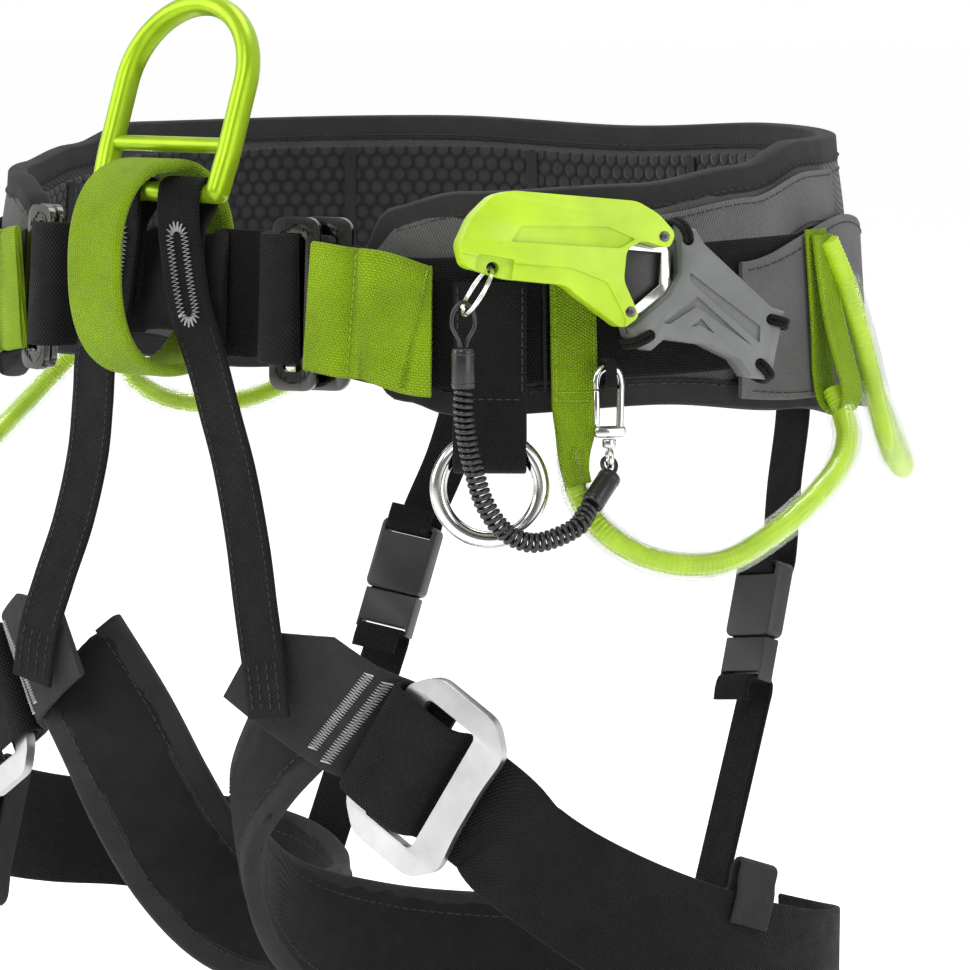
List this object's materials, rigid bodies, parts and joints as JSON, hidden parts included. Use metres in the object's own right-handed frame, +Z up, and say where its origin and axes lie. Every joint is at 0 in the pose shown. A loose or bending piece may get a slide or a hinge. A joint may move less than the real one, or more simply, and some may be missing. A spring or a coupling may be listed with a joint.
{
  "type": "tree climbing saddle",
  "caption": "Padded hip belt with a front tie-in ring on a belay loop, leg loops, gear loops, side rings, and a rescue tool in a sheath on a coiled lanyard.",
  "frame": {"origin": "middle of the waist opening, level with the middle of the front webbing", "axes": "+Z up, -Y the way the wearer faces, +X the wearer's left"},
  "size_m": [0.416, 0.3181, 0.391],
  "materials": {
    "black_fabric": "matt twill",
    "mesh_fabric": "matt mesh",
    "black_webbing": "woven",
    "dark_steel": "dark plated, polished",
    "lime_webbing": "woven",
    "lime_anodised": "anodised, satin",
    "steel": "polished",
    "clear_tube": "clear and glossy",
    "lime_plastic": "satin",
    "grey_plastic": "moulded, matt",
    "dark_plastic": "moulded, matt",
    "black_rubber": "coated cable, glossy",
    "brushed_aluminium": "brushed"
  },
  "bodies": {
    "saddle": {"hip_pad": "black_fabric", "front_bridge": "black_fabric", "leg_pad_left": "black_fabric", "leg_pad_right": "black_fabric", "pad_lining": "mesh_fabric", "side_panel_left": "mesh_fabric", "side_panel_right": "mesh_fabric", "rear_belt_webbing": "black_webbing", "front_webbing_left": "black_webbing", "front_webbing_right": "black_webbing", "riser_left": "black_webbing", "riser_right": "black_webbing", "ring_hanger_left": "black_webbing", "ring_hanger_right": "black_webbing", "leg_junction_left": "black_webbing", "leg_junction_right": "black_webbing", "leg_strap_left": "black_webbing", "leg_strap_right": "black_webbing", "rear_strap_left": "black_webbing", "rear_strap_right": "black_webbing", "rear_lower_strap_left": "black_webbing", "rear_lower_strap_right": "black_webbing", "hook_loop": "black_webbing", "buckle_rear_plate_left": "dark_steel", "buckle_rear_plate_right": "dark_steel", "waist_tab_left": "lime_webbing", "waist_tab_right": "lime_webbing", "gear_loop_tape_left": "lime_webbing", "gear_loop_tape_right": "lime_webbing", "front_gear_core_left": "lime_webbing", "front_gear_core_right": "lime_webbing", "rear_gear_loop_left": "lime_webbing", "rear_gear_loop_right": "lime_webbing", "hook_body": "steel", "hook_swivel": "steel", "front_gear_tube_left": "clear_tube", "front_gear_tube_right": "clear_tube", "tool_sheath": "grey_plastic", "rear_clip_socket_left": "dark_plastic", "rear_clip_socket_right": "dark_plastic", "rear_clip_plug_left": "dark_plastic", "rear_clip_plug_right": "dark_plastic", "sheath_cord_front": "black_rubber", "sheath_cord_rear": "black_rubber", "lanyard_coil": "black_rubber", "lanyard_end_lower": "black_rubber"},
    "ring": {"tie_in_ring": "lime_anodised"},
    "belay": {"belay_loop": "lime_webbing"},
    "waist_buckle_left": {"buckle_front_plate_left": "dark_steel"},
    "waist_buckle_right": {"buckle_front_plate_right": "dark_steel"},
    "leg_buckle_left_body": {"leg_buckle_left": "brushed_aluminium"},
    "leg_buckle_right_body": {"leg_buckle_right": "brushed_aluminium"},
    "side_ring_left": {"steel_ring_left": "steel"},
    "side_ring_right": {"steel_ring_right": "steel"},
    "rescue_tool": {"tool_handle": "lime_plastic", "tool_blade": "steel", "lanyard_end_upper": "black_rubber"},
    "key_ring": {"split_ring": "steel"},
    "latch": {"sheath_latch": "dark_plastic"},
    "gate": {"hook_gate": "steel"}
  },
  "joints": [
    {"name": "ring_swing", "type": "hinge", "parent": "saddle", "child": "ring", "pos_m": [0, -0.138, 0.031], "axis": [1, 0, 0], "range_deg": [-20, 44]},
    {"name": "belay_loop_swing", "type": "hinge", "parent": "saddle", "child": "belay", "pos_m": [0, -0.138, 0.0045], "axis": [0, 0, 1], "range_deg": [-12, 12]},
    {"name": "waist_buckle_tilt_left", "type": "hinge", "parent": "saddle", "child": "waist_buckle_left", "pos_m": [0.05774, -0.13819, -0.0059], "axis": [-0.0205, 0.0667, 0.9976], "range_deg": [0, 8]},
    {"name": "waist_buckle_tilt_right", "type": "hinge", "parent": "saddle", "child": "waist_buckle_right", "pos_m": [-0.05774, -0.13819, -0.0059], "axis": [-0.0205, -0.0667, -0.9976], "range_deg": [0, 8]},
    {"name": "leg_buckle_tilt_left", "type": "hinge", "parent": "saddle", "child": "leg_buckle_left_body", "pos_m": [0.09638, -0.12508, -0.15873], "axis": [-0.5219, -0.092, -0.848], "range_deg": [0, 12]},
    {"name": "leg_buckle_tilt_right", "type": "hinge", "parent": "saddle", "child": "leg_buckle_right_body", "pos_m": [-0.09638, -0.12508, -0.15873], "axis": [-0.5219, 0.092, 0.848], "range_deg": [0, 12]},
    {"name": "side_ring_swing_left", "type": "hinge", "parent": "saddle", "child": "side_ring_left", "pos_m": [0.12918, -0.10986, -0.05387], "axis": [0.7863, 0.6179, 0], "range_deg": [-15, 15]},
    {"name": "side_ring_swing_right", "type": "hinge", "parent": "saddle", "child": "side_ring_right", "pos_m": [-0.12918, -0.10986, -0.05387], "axis": [0.7863, -0.6179, 0], "range_deg": [-15, 15]},
    {"name": "tool_draw", "type": "slide", "parent": "saddle", "child": "rescue_tool", "axis": [-0.5927, -0.7865, 0.1736], "range_m": [0, 0.06]},
    {"name": "key_ring_swing", "type": "hinge", "parent": "rescue_tool", "child": "key_ring", "pos_m": [0.1439, -0.12694, 0.00939], "axis": [-0.804, 0.5907, -0.0688], "range_deg": [-5, 5]},
    {"name": "latch_press", "type": "hinge", "parent": "saddle", "child": "latch", "pos_m": [0.17145, -0.06869, 0.00446], "axis": [-0.0485, -0.1804, -0.9824], "range_deg": [0, 8], "stiffness_Nm_per_rad": 0.2, "springref_deg": -2.86},
    {"name": "gate_open", "type": "hinge", "parent": "saddle", "child": "gate", "pos_m": [0.15783, -0.08725, -0.04539], "axis": [-0.7882, 0.6114, -0.0698], "range_deg": [0, 25], "stiffness_Nm_per_rad": 0.01, "springref_deg": -11.46}
  ]
}
